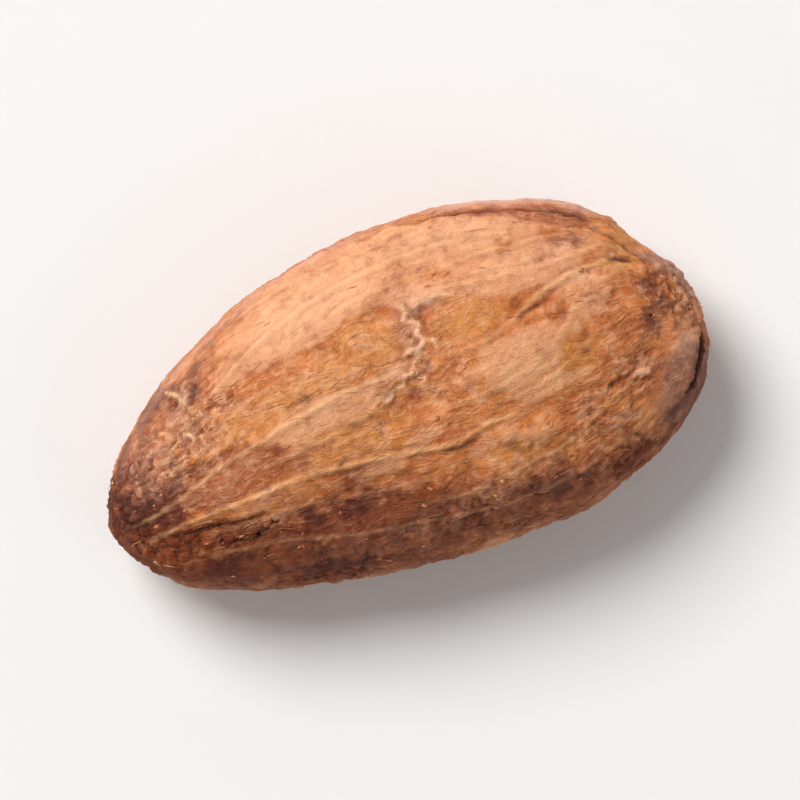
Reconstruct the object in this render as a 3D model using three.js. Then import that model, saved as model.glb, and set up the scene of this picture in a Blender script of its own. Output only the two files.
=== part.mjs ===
// One whole dried cacao bean, lying on its flatter face.
// Millimetres, +Z up. +X runs from the narrow end to the broad end, where the bean hung on its stalk,
// and +Y points to the edge that carries the seam. The origin is under the middle, on the ground.

import * as THREE from "three";
import { mergeVertices } from "three/addons/utils/BufferGeometryUtils.js";

// Overall size
const LENGTH = 25;
const WIDTH = 13.5;
const THICKNESS = 8.2;

// The edge line divides the thickness into a fuller crown and a flatter belly.
const CROWN = 4.7;
const BELLY = THICKNESS - CROWN;
const FOOT_FLAT = 0.2; // how deep the belly is flattened where it rests
const ROUNDNESS = 2.3; // 2 would give an elliptical cross-section, and more gives a squarer one

// The edge line seen from above, anticlockwise from the tip of the broad end.
// x is a share of half the length and y is a share of half the width.
const EDGE = [
  [1.0, -0.12], // tip of the broad end
  [0.842, 0.527], // shoulder beside the scar
  [0.5, 0.893],
  [0.024, 1.0], // widest place on the seam side
  [-0.5, 0.772],
  [-0.878, 0.319],
  [-1.0, -0.12], // tip of the narrow end
  [-0.854, -0.537],
  [-0.5, -0.798],
  [0.016, -0.972],
  [0.504, -0.95],
  [0.886, -0.601],
];

// The edge line rises and dips a little on its way round, because the bean dried slightly twisted.
const EDGE_TILT = 0.3; // the broad end's rise above the middle
const EDGE_TWIST = 0.25; // the seam side's rise near the broad end, and its dip near the narrow one

// Broad swellings and hollows of the two faces. Each is a soft mound with its middle, its half-sizes along
// and across, its turn from X in degrees, and its rise above the face.
const CROWN_RELIEF = [
  // Swelling over the narrow half
  { x: -4.6, y: 1.8, long: 4.6, wide: 2.6, turn: 12, rise: 0.34 },
  // Swelling over the broad half
  { x: 5.4, y: 0.4, long: 3.8, wide: 3.0, turn: -8, rise: 0.3 },
  // Crosswise furrow between the two
  { x: 1.1, y: 1.5, long: 2.5, wide: 1.0, turn: 68, rise: -0.3 },
  // Lengthwise trough on the flank away from the seam
  { x: -1.6, y: -2.9, long: 6.2, wide: 0.9, turn: 2, rise: -0.22 },
  // Hollow beside the scar
  { x: 9.4, y: 2.2, long: 1.6, wide: 1.1, turn: -50, rise: -0.24 },
];
const BELLY_RELIEF = [
  // Lengthwise trough
  { x: 1.0, y: 3.4, long: 6.0, wide: 1.0, turn: -4, rise: -0.25 },
  // Crosswise furrow
  { x: -5.8, y: 0.4, long: 2.6, wide: 1.1, turn: 75, rise: -0.2 },
  // Swelling near the broad end
  { x: 6.4, y: -1.2, long: 3.0, wide: 2.2, turn: 5, rise: 0.16 },
];

// The surface is a box grid blown up into a ball, and the ball is drawn out into the bean.
const GRID_LONG = 22;
const GRID_WIDE = 16;
const GRID_DEEP = 10;

const SKIN_COLOUR = 0xb9794c;

const edgeCurve = new THREE.CatmullRomCurve3(
  EDGE.map(([x, y]) => new THREE.Vector3((x * LENGTH) / 2, (y * WIDTH) / 2, 0)),
  true,
);

// A closed ball of unit radius whose faces keep the box's rows and columns, evenly spread.
function ballGrid() {
  const box = new THREE.BoxGeometry(2, 2, 2, GRID_LONG, GRID_WIDE, GRID_DEEP);
  box.deleteAttribute("normal");
  box.deleteAttribute("uv");
  const ball = mergeVertices(box);
  const places = ball.getAttribute("position");
  const place = new THREE.Vector3();
  for (let i = 0; i < places.count; i++) {
    place.fromBufferAttribute(places, i);
    place.set(spreadOut(place.x), spreadOut(place.y), spreadOut(place.z)).normalize();
    places.setXYZ(i, place.x, place.y, place.z);
  }
  return ball;
}

function spreadOut(share) {
  return Math.tan((share * Math.PI) / 4);
}

// Height that one mound adds at a place seen from above.
function moundHeight(mound, x, y) {
  const turn = THREE.MathUtils.degToRad(mound.turn);
  const dx = x - mound.x;
  const dy = y - mound.y;
  const along = (dx * Math.cos(turn) + dy * Math.sin(turn)) / mound.long;
  const across = (dy * Math.cos(turn) - dx * Math.sin(turn)) / mound.wide;
  return mound.rise * Math.exp(-(along * along + across * across));
}

function reliefHeight(mounds, x, y) {
  return mounds.reduce((sum, mound) => sum + moundHeight(mound, x, y), 0);
}

function edgeHeight(x, y) {
  const alongShare = (2 * x) / LENGTH;
  const acrossShare = (2 * y) / WIDTH;
  return EDGE_TILT * alongShare + EDGE_TWIST * alongShare * acrossShare;
}

// Draws one direction of the unit ball out to the bean's surface.
function beanPlace(direction) {
  const angle = Math.atan2(direction.y, direction.x);
  const turnShare = (angle / (2 * Math.PI) + 1) % 1;
  const ring = Math.hypot(direction.x, direction.y) ** (2 / ROUNDNESS);
  const lift = Math.abs(direction.z) ** (2 / ROUNDNESS);
  const edge = edgeCurve.getPoint(turnShare);
  const x = edge.x * ring;
  const y = edge.y * ring;
  const isCrown = direction.z > 0;
  const depth = isCrown ? CROWN : BELLY;
  const relief = reliefHeight(isCrown ? CROWN_RELIEF : BELLY_RELIEF, x, y);
  const height = lift * (depth + relief);
  return new THREE.Vector3(x, y, edgeHeight(x, y) + (isCrown ? height : -height));
}

// Fits the shape to its overall size, stands it on the ground and flattens what would reach below.
function fitToSize(shape) {
  shape.computeBoundingBox();
  const middle = shape.boundingBox.getCenter(new THREE.Vector3());
  const extent = shape.boundingBox.getSize(new THREE.Vector3());
  shape.translate(-middle.x, -middle.y, -shape.boundingBox.min.z);
  shape.scale(LENGTH / extent.x, WIDTH / extent.y, (THICKNESS + FOOT_FLAT) / extent.z);
  const places = shape.getAttribute("position");
  for (let i = 0; i < places.count; i++) {
    places.setZ(i, Math.max(places.getZ(i) - FOOT_FLAT, 0));
  }
}

function cacaoBean() {
  const shape = ballGrid();
  const places = shape.getAttribute("position");
  const direction = new THREE.Vector3();
  for (let i = 0; i < places.count; i++) {
    direction.fromBufferAttribute(places, i);
    const place = beanPlace(direction);
    places.setXYZ(i, place.x, place.y, place.z);
  }
  fitToSize(shape);
  shape.computeVertexNormals();
  const skin = new THREE.MeshStandardMaterial({ color: SKIN_COLOUR, roughness: 0.62, metalness: 0 });
  const bean = new THREE.Mesh(shape, skin);
  bean.name = "cacao_bean";
  return bean;
}

const model = new THREE.Group();
model.add(cacaoBean());

export default model;
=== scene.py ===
"""A dried cacao bean lying on a pale floor in soft light.

The bean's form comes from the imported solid. Its skin is drawn over that form as a fine grid, which then
gets its seam, scar, veins, creases and wrinkles. Loose scales and fibres of dried pulp lie on the skin.
Lengths in the tables below are millimetres, measured from the middle of the bean: x runs from the narrow
end to the broad end, y to the edge with the seam, and angles are in degrees.
"""

import math
import random

import bpy
import numpy as np
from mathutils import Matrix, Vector
from mathutils.bvhtree import BVHTree


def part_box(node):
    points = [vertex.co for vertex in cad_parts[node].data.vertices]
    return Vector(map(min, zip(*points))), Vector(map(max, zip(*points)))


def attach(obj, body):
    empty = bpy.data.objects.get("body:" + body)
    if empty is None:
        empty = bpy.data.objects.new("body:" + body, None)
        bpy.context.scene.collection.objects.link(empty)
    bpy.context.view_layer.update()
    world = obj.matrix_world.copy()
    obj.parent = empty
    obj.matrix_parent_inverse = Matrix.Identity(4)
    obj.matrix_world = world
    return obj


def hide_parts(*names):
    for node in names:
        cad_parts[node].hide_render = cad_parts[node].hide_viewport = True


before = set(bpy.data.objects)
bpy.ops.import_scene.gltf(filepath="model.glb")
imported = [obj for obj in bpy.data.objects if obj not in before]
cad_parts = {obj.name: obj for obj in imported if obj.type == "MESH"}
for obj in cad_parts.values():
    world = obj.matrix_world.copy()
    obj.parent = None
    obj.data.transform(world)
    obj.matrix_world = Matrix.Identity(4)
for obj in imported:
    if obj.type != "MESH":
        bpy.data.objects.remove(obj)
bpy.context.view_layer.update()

MM = 0.001
BEAN_NODE = "cacao_bean"

bean_low, bean_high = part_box(BEAN_NODE)
bean_middle = (bean_low + bean_high) / 2
bean_half = (bean_high - bean_low) / 2

# The line from tip to tip that the veins run round. Both tips lie a little off the middle of the box.
AXIS_Y_SHARE = -0.12
AXIS_Z_SHARE = 0.43
axis_y = bean_middle.y + AXIS_Y_SHARE * bean_half.y
axis_z = bean_low.z + AXIS_Z_SHARE * (bean_high.z - bean_low.z)
heart = Vector((bean_middle.x, axis_y, axis_z))


# -------------------- nodes written as sums


class Field:
    """A number or a vector that nodes work out at every point. Sums on it add nodes to its tree."""

    def __init__(self, tree, socket):
        self.tree = tree
        self.socket = socket

    def math(self, operation, *others):
        node = self.tree.nodes.new("ShaderNodeMath")
        node.operation = operation
        for socket, value in zip(node.inputs, (self, *others)):
            plug(self.tree, socket, value)
        return Field(self.tree, node.outputs[0])

    def __add__(self, other):
        return self.math("ADD", other)

    def __sub__(self, other):
        return self.math("SUBTRACT", other)

    def __mul__(self, other):
        return self.math("MULTIPLY", other)

    def __truediv__(self, other):
        return self.math("DIVIDE", other)

    def __neg__(self):
        return self.math("MULTIPLY", -1.0)

    def __rsub__(self, other):
        return -self + other

    __radd__ = __add__

    def least(self, other):
        return self.math("MINIMUM", other)

    def most(self, other):
        return self.math("MAXIMUM", other)

    def hump(self, half_width):
        """1 where this distance is nothing, falling away as a bell curve of that half-width."""
        share = self / half_width
        return (-(share * share)).math("EXPONENT")

    def rise(self, low, high):
        """0 below low, 1 above high, and smooth between them."""
        inputs = {"Value": self, "From Min": low, "From Max": high}
        node = new_node(self.tree, "ShaderNodeMapRange", inputs, interpolation_type="SMOOTHSTEP")
        return Field(self.tree, node.outputs["Result"])


def plug(tree, socket, value):
    """Links a field or a socket to a node's input, or sets the input to a plain value."""
    if isinstance(value, Field):
        value = value.socket
    if isinstance(value, bpy.types.NodeSocket):
        tree.links.new(value, socket)
    else:
        socket.default_value = value


def new_node(tree, kind, inputs=None, **settings):
    node = tree.nodes.new(kind)
    for name, value in settings.items():
        setattr(node, name, value)
    for name, value in (inputs or {}).items():
        plug(tree, node.inputs[name], value)
    return node


def split(field):
    node = new_node(field.tree, "ShaderNodeSeparateXYZ", {0: field})
    return [Field(field.tree, socket) for socket in node.outputs]


def join(x, y, z):
    tree = next(part.tree for part in (x, y, z) if isinstance(part, Field))
    return Field(tree, new_node(tree, "ShaderNodeCombineXYZ", {0: x, 1: y, 2: z}).outputs[0])


def vector_sum(operation, first, other=None):
    """A vector worked out from one or two others. SCALE multiplies the first by a number."""
    node = new_node(first.tree, "ShaderNodeVectorMath", {0: first}, operation=operation)
    if other is not None:
        plug(first.tree, node.inputs["Scale" if operation == "SCALE" else 1], other)
    return Field(first.tree, node.outputs["Vector"])


def millimetres(place):
    return vector_sum("SCALE", place, 1 / MM)


def noise(place, scale, detail=2.0, roughness=0.5, distortion=0.0):
    """Cloudy noise about 0.5, with lumps of about 1/scale."""
    inputs = {"Vector": place, "Scale": scale, "Detail": detail}
    inputs |= {"Roughness": roughness, "Distortion": distortion}
    return Field(place.tree, new_node(place.tree, "ShaderNodeTexNoise", inputs).outputs["Fac"])


def cell_edges(place, scale):
    """Distance to the nearest border between irregular cells."""
    inputs = {"Vector": place, "Scale": scale}
    node = new_node(place.tree, "ShaderNodeTexVoronoi", inputs, feature="DISTANCE_TO_EDGE")
    return Field(place.tree, node.outputs["Distance"])


def winding_lines(place, scale, width, detail=2.0):
    """Thin winding lines, 1 on each line. They run where cloudy noise passes its middle value."""
    return (noise(place, scale, detail, 0.5, 0.35) - 0.5).hump(width)


def shifted(place, x, y, z):
    """The same place moved, so that two noises on it differ."""
    return vector_sum("ADD", place, (x, y, z))


def ragged(place, reach, scale):
    """The place pushed about by up to reach, so that borders measured from it come out ragged."""
    node = new_node(place.tree, "ShaderNodeTexNoise", {"Vector": place, "Scale": scale, "Detail": 3.0})
    push = vector_sum("SUBTRACT", Field(place.tree, node.outputs["Color"]), (0.5, 0.5, 0.5))
    return vector_sum("ADD", place, vector_sum("SCALE", push, reach * 2))


# -------------------- geometry node trees and what they make


class GeometryTree:
    """A geometry node tree with named inputs, and the values that one use of it gives them."""

    def __init__(self, name):
        self.tree = bpy.data.node_groups.new(name, "GeometryNodeTree")
        self.tree.interface.new_socket(name="Geometry", in_out="INPUT", socket_type="NodeSocketGeometry")
        self.tree.interface.new_socket(name="Geometry", in_out="OUTPUT", socket_type="NodeSocketGeometry")
        self.source = self.tree.nodes.new("NodeGroupInput")
        self.values = {}

    def input(self, name, kind, value):
        item = self.tree.interface.new_socket(name=name, in_out="INPUT", socket_type="NodeSocket" + kind)
        self.values[item.identifier] = value
        return Field(self.tree, self.source.outputs[name])

    def node(self, kind, inputs=None, **settings):
        return new_node(self.tree, kind, inputs, **settings)

    def field(self, kind, output=0, inputs=None, **settings):
        return Field(self.tree, self.node(kind, inputs, **settings).outputs[output])

    @property
    def given(self):
        """The geometry that the tree is used on."""
        return Field(self.tree, self.source.outputs["Geometry"])

    def moved(self, geometry, **target):
        """The geometry with its points at a new Position, or moved by an Offset."""
        return self.field("GeometryNodeSetPosition", 0, {"Geometry": geometry, **target})

    def real(self, geometry):
        return self.field("GeometryNodeRealizeInstances", 0, {"Geometry": geometry})

    def smooth(self, geometry):
        return self.field("GeometryNodeSetShadeSmooth", 0, {"Geometry": geometry})

    def finish(self, geometry, material):
        """Ends the tree in real geometry with its material."""
        inputs = {"Geometry": self.real(geometry), "Material": material}
        out = self.tree.nodes.new("NodeGroupOutput")
        plug(self.tree, out.inputs["Geometry"], self.field("GeometryNodeSetMaterial", 0, inputs))

    def make(self, name, start=None):
        """Runs the tree on a copy of start, or on nothing, and returns a plain mesh object."""
        mesh = start.data.copy() if start else bpy.data.meshes.new(name)
        host = bpy.data.objects.new(name + "_host", mesh)
        bpy.context.scene.collection.objects.link(host)
        modifier = host.modifiers.new(self.tree.name, "NODES")
        modifier.node_group = self.tree
        for identifier, value in self.values.items():
            modifier[identifier] = value
        graph = bpy.context.evaluated_depsgraph_get()
        result = host.evaluated_get(graph)
        made = bpy.data.meshes.new_from_object(result, preserve_all_data_layers=True, depsgraph=graph)
        made.name = name
        bpy.data.objects.remove(host)
        piece = bpy.data.objects.new(name, made)
        bpy.context.scene.collection.objects.link(piece)
        return piece


def mesh_object(name, points, edges=(), faces=()):
    made = bpy.data.objects.new(name, bpy.data.meshes.new(name))
    made.data.from_pydata(points, edges, faces)
    bpy.context.scene.collection.objects.link(made)
    return made


def marked_mesh(name, points, edges, strengths):
    """A helper that a tree reads through Object Info. Its points say how strong it is there."""
    made = mesh_object(name, points, edges)
    made.data.attributes.new("strength", "FLOAT", "POINT").data.foreach_set("value", strengths)
    return made


def discard(*helpers):
    for helper in helpers:
        bpy.data.objects.remove(helper)


def object_geometry(tree, source):
    return tree.field("GeometryNodeObjectInfo", "Geometry", {"Object": source})


# -------------------- camera, light and floor

SENSOR_WIDTH = 36.0
BEAN_TURN = 21.2  # the bean's long axis lies this far anticlockwise of the view's width
CAMERA_DISTANCE = 0.42
FRAME_WIDTH = 0.0315  # of the floor that the camera takes in

FLOOR_HUB = 0.02  # radius of the innermost ring of faces
FLOOR_RADIUS = 0.55
COVE_RADIUS = 0.35
FLOOR_GAP = 0.02 * MM  # between the floor and what rests on it
FLOOR_TURNS = 96
COVE_STEPS = 16


def place_camera():
    lens = bpy.data.cameras.new("camera")
    lens.sensor_width = SENSOR_WIDTH
    lens.lens = SENSOR_WIDTH * CAMERA_DISTANCE / FRAME_WIDTH
    lens.clip_start = 0.01
    camera = bpy.data.objects.new("camera", lens)
    camera.location = (bean_middle.x, bean_middle.y, CAMERA_DISTANCE + bean_middle.z)
    camera.rotation_euler = (0, 0, -math.radians(BEAN_TURN))
    bpy.context.scene.collection.objects.link(camera)
    bpy.context.scene.camera = camera


def soft_light(name, bearing, height, distance, size, watts, colour):
    """An area lamp. Its bearing is in degrees anticlockwise from the right of the camera's view."""
    lamp = bpy.data.lights.new(name, "AREA")
    lamp.shape = "DISK"
    lamp.size = size
    lamp.energy = watts
    lamp.color = colour
    turn = math.radians(bearing - BEAN_TURN)
    place = Vector((math.cos(turn) * distance, math.sin(turn) * distance, height))
    holder = bpy.data.objects.new(name, lamp)
    holder.location = place
    holder.rotation_euler = (bean_middle - place).to_track_quat("-Z", "Y").to_euler()
    bpy.context.scene.collection.objects.link(holder)


def light_scene():
    soft_light("window", bearing=132, height=0.95, distance=0.8, size=0.7, watts=15.1,
               colour=(1.0, 0.975, 0.945))
    soft_light("reflector", bearing=-30, height=0.9, distance=1.0, size=0.9, watts=1.5,
               colour=(1.0, 0.97, 0.94))
    world = bpy.data.worlds.new("room")
    world.use_nodes = True
    background = world.node_tree.nodes["Background"]
    background.inputs["Color"].default_value = (0.97, 0.97, 0.98, 1)
    background.inputs["Strength"].default_value = 0.25
    bpy.context.scene.world = world
    bpy.context.scene.view_settings.view_transform = "Standard"


def pale_floor():
    """A flat round floor that curves up into a wall all round, with no corner."""
    profile = [(FLOOR_HUB, 0.0), (FLOOR_RADIUS, 0.0)]
    for step in range(1, COVE_STEPS + 1):
        angle = math.radians(90) * step / COVE_STEPS
        rise = COVE_RADIUS * (1 - math.cos(angle))
        profile.append((FLOOR_RADIUS + COVE_RADIUS * math.sin(angle), rise))
    points = [(0.0, 0.0, -FLOOR_GAP)]
    for radius, height in profile:
        for turn in range(FLOOR_TURNS):
            angle = 2 * math.pi * turn / FLOOR_TURNS
            points.append((radius * math.cos(angle), radius * math.sin(angle), height - FLOOR_GAP))
    around = [(1 + turn, 1 + (turn + 1) % FLOOR_TURNS) for turn in range(FLOOR_TURNS)]
    faces = [(0, near, beside) for near, beside in around]
    for ring in range(len(profile) - 1):
        start = ring * FLOOR_TURNS
        for near, beside in around:
            outer = start + FLOOR_TURNS
            faces.append((start + near, outer + near, outer + beside, start + beside))
    floor = mesh_object("floor", points, faces=faces)
    for face in floor.data.polygons:
        face.use_smooth = True
    paper = bpy.data.materials.new("pale_floor")
    paper.use_nodes = True
    shader = paper.node_tree.nodes["Principled BSDF"]
    shader.inputs["Base Color"].default_value = (0.86, 0.865, 0.87, 1)
    shader.inputs["Roughness"].default_value = 0.7
    floor.data.materials.append(paper)


# -------------------- the bean's form

GRID_ROWS = 177, 129, 81  # of points along, across and up
WELD = 0.001 * MM


def ball_point(tree):
    """A box grid's place blown up onto a ball, with its rows evenly spread."""
    place = tree.field("GeometryNodeInputPosition")
    spread = [(part * (math.pi / 4)).math("TANGENT") for part in split(place)]
    return vector_sum("NORMALIZE", join(*spread))


def bean_form(cad_bean):
    """The bean's smooth form: a fine box grid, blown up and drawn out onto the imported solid."""
    tree = GeometryTree("bean form")
    shape = tree.input("Solid", "Object", cad_bean)
    inside = tree.input("Heart", "Vector", heart)
    half = tree.input("Half Size", "Vector", bean_half)
    size = {"Size": (2, 2, 2)}
    for axis, rows in zip("XYZ", GRID_ROWS):
        size["Vertices " + axis] = tree.input("Rows " + axis, "Int", rows)
    loose = {"Geometry": object_geometry(tree, shape), "Distance": WELD}
    solid = tree.field("GeometryNodeMergeByDistance", 0, loose)
    smooth = tree.field("GeometryNodeSubdivisionSurface", 0, {"Mesh": solid, "Level": 2})
    grid = tree.field("GeometryNodeMeshCube", 0, size)
    direction = vector_sum("MULTIPLY", ball_point(tree), half)
    ray = {"Source Position": inside, "Ray Direction": direction, "Ray Length": 1.0}
    hit = tree.field("GeometryNodeRaycast", "Hit Position", {"Target Geometry": smooth, **ray})
    tree.finish(tree.moved(grid, Position=hit), None)
    return tree.make("bean_form")


class Surface:
    """The smooth form, on which paths are laid."""

    def __init__(self, form):
        mesh = form.data
        places = [vertex.co.copy() for vertex in mesh.vertices]
        self.tree = BVHTree.FromPolygons(places, [tuple(face.vertices) for face in mesh.polygons])

    def crown_place(self, x, y):
        """The place on the crown that lies over (x, y). Just outside the outline, the nearest place."""
        start = Vector((x * MM, y * MM, bean_middle.z + 0.1))
        hit = self.tree.ray_cast(start, Vector((0, 0, -1)))[0]
        if hit is None:
            hit = self.tree.find_nearest(Vector((x * MM, y * MM, axis_z)))[0]
        return hit

    def toward(self, direction):
        """The place where a line from the heart in that direction leaves the bean."""
        return self.tree.ray_cast(heart, direction)[0]


# -------------------- paths on the skin


def smooth_path(points, step):
    """Points along a Catmull-Rom curve through the given ones, about a step apart."""
    knots = [np.array(p, float) for p in points]
    knots = [2 * knots[0] - knots[1], *knots, 2 * knots[-1] - knots[-2]]
    path = []
    for a, b, c, d in zip(knots, knots[1:], knots[2:], knots[3:]):
        count = max(2, int(np.linalg.norm(c - b) / step))
        for t in np.arange(count) / count:
            square = (2 * a - 5 * b + 4 * c - d) * t**2
            cube = (3 * b - 3 * c + d - a) * t**3
            path.append(0.5 * (2 * b + (c - a) * t + square + cube))
    path.append(knots[-2])
    return path


PATH_STEP = 0.12
FADE = 1.6  # how far from its end a path starts to fade
END_STRENGTH = 0.15  # the share of its strength that a path keeps at its very end
STEPS_TIP_TO_TIP = 160


class Paths:
    """Lines on the skin, gathered for one helper."""

    def __init__(self, surface):
        self.surface = surface
        self.points = []
        self.edges = []
        self.strengths = []

    def add(self, places, strength, fade=FADE):
        first = len(self.points)
        lengths = [0.0]
        for near, far in zip(places, places[1:]):
            lengths.append(lengths[-1] + (far - near).length / MM)
        for place, run in zip(places, lengths):
            from_end = min(run, lengths[-1] - run)
            self.points.append(place)
            self.strengths.append(strength * min(1.0, END_STRENGTH + from_end / fade))
        self.edges += [(i, i + 1) for i in range(first, len(self.points) - 1)]

    def on_crown(self, strength, *points, fade=FADE):
        places = [self.surface.crown_place(x, y) for x, y in smooth_path(points, PATH_STEP)]
        self.add(places, strength, fade)

    def tip_to_tip(self, strength, start, end, around, wobble, chance):
        """A line at that angle round the long axis, between two shares of the way from tip to tip."""
        phase = chance.uniform(0, 6.28)
        waves = chance.uniform(1.5, 3.5)
        places = []
        for step in range(STEPS_TIP_TO_TIP + 1):
            share = start + (end - start) * step / STEPS_TIP_TO_TIP
            turn = math.radians(around + wobble * math.sin(phase + waves * math.pi * share))
            slope = math.pi * share
            ring = math.sin(slope)
            x, y, z = -math.cos(slope), ring * math.cos(turn), ring * math.sin(turn)
            direction = Vector((x * bean_half.x, y * bean_half.y, z * bean_half.z))
            places.append(self.surface.toward(direction))
        self.add(places, strength)

    def helper(self, name):
        return marked_mesh(name, self.points, self.edges, self.strengths)


# The crinkle across the middle, then the puckered place near the narrow end
JAGGED_THREADS = [
    [(1.2, 3.5), (1.45, 3.1), (1.25, 2.85), (1.75, 2.5), (1.55, 2.15), (1.75, 1.85), (1.35, 1.55),
     (1.45, 1.25)],
    [(1.4, 1.3), (1.0, 1.1), (0.9, 0.8), (0.5, 0.8), (0.3, 0.45), (-0.1, 0.5), (-0.35, 0.15),
     (-0.8, 0.15)],
    [(1.9, 3.45), (2.4, 3.15), (2.9, 3.25), (3.4, 2.95)],
    [(1.75, 1.85), (2.1, 1.65), (2.05, 1.3)],
    [(1.35, 1.55), (0.9, 1.6), (0.7, 1.35)],
    [(0.9, 0.8), (1.2, 0.45), (1.05, 0.15)],
    [(0.3, 0.45), (0.45, 0.15)],
    [(-8.5, 3.6), (-8.05, 3.2), (-8.15, 2.8)],
    [(-7.6, 3.4), (-7.9, 2.95), (-7.7, 2.5)],
    [(-9.3, 2.2), (-8.9, 1.9), (-8.9, 1.5)],
    [(-8.5, 1.9), (-8.1, 1.6), (-8.2, 1.2)],
]


def vein_paths(surface):
    """The thin raised threads that run the length of the skin."""
    veins = Paths(surface)
    crown = veins.on_crown
    crown(1.0, (-11.6, -1.7), (-9.5, -1.5), (-7.5, -1.5), (-5.0, -1.45), (-3.0, -1.6), (-1.2, -1.9),
          (0.2, -2.15), (1.5, -2.35), (2.9, -2.1), (4.8, -2.3))
    crown(0.3, (5.6, -2.2), (6.8, -2.1), (8.6, -1.6), (10.0, -1.0))
    crown(0.75, (-11.6, -0.9), (-10.0, -0.7), (-9.0, -0.4), (-7.5, 0.05), (-6.0, 0.3), (-4.5, 0.65),
          (-3.0, 0.9), (-1.5, 1.05), (-0.2, 1.0), (0.7, 1.35))
    crown(0.7, (-6.2, -0.6), (-4.4, -0.45), (-2.8, -0.35), (-1.6, -0.15), (-0.6, 0.3), (0.1, 0.7),
          (0.7, 0.95))
    crown(0.65, (-10.2, 0.7), (-9.2, 1.3), (-8.3, 1.9), (-7.2, 2.6), (-6.3, 3.05), (-5.2, 3.6),
          (-4.2, 4.0), (-3.0, 4.4), (-1.4, 4.8), (0.6, 5.1), (2.8, 5.1), (5.0, 4.9), (6.8, 4.4))
    crown(0.9, (10.2, 2.2), (9.4, 2.15), (8.2, 2.2), (7.2, 2.0), (6.2, 1.75), (5.2, 1.3), (4.2, 1.0),
          (3.0, 0.9), (2.0, 1.1))
    crown(0.45, (9.9, 3.0), (8.4, 2.8), (7.0, 2.9), (5.6, 3.05), (4.2, 3.25), (3.0, 3.4), (1.8, 3.35))
    crown(0.45, (9.6, 3.5), (7.5, 3.9), (5.5, 4.15), (3.5, 4.2), (1.8, 4.3), (-0.2, 4.2), (-2.4, 3.6))
    crown(0.5, (10.1, 1.4), (8.9, 1.0), (7.8, 0.9), (6.9, 0.2), (5.6, -0.5), (4.2, -0.9), (2.6, -1.0),
          (1.0, -0.7))
    crown(0.4, (8.8, 0.3), (7.6, -0.6), (6.2, -1.2), (4.8, -1.5), (3.2, -1.5))
    crown(0.45, (10.6, -1.7), (8.9, -2.5), (7.2, -3.2), (5.6, -3.9), (4.2, -4.1), (2.8, -4.3),
          (1.0, -4.4), (-0.8, -4.1))
    crown(0.4, (-10.2, -2.9), (-7.8, -3.25), (-6.0, -3.6), (-4.2, -4.1), (-2.4, -4.5), (-0.4, -4.9),
          (1.6, -5.2), (3.8, -5.3), (6.0, -5.0), (8.2, -4.4), (10.2, -3.2))
    crown(0.35, (-9.4, -2.3), (-7.4, -2.4), (-5.4, -2.5), (-3.6, -2.8), (-1.6, -3.1), (0.2, -3.2),
          (2.0, -3.0))
    crown(0.4, (-8.4, 3.4), (-7.0, 4.3), (-5.4, 5.0), (-3.6, 5.5), (-1.6, 5.8), (0.6, 5.95), (2.6, 5.8))
    crown(0.35, (-7.0, 1.6), (-5.4, 2.1), (-3.8, 2.3), (-2.2, 2.0), (-0.6, 2.1), (0.8, 2.5))
    crown(0.35, (-10.8, -0.1), (-9.4, 0.5), (-8.0, 1.0), (-6.6, 1.2), (-5.0, 1.4), (-3.4, 1.5))
    for points in JAGGED_THREADS:
        crown(1.7, *points, fade=0.4)
    chance = random.Random(4)
    for around in range(188, 352, 11):
        start = chance.uniform(0.04, 0.2)
        end = chance.uniform(0.74, 0.96)
        strength = chance.uniform(0.35, 0.95)
        veins.tip_to_tip(strength, start, end, around + chance.uniform(-3, 3), chance.uniform(1, 4), chance)
    return veins.helper("vein_paths")


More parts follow.
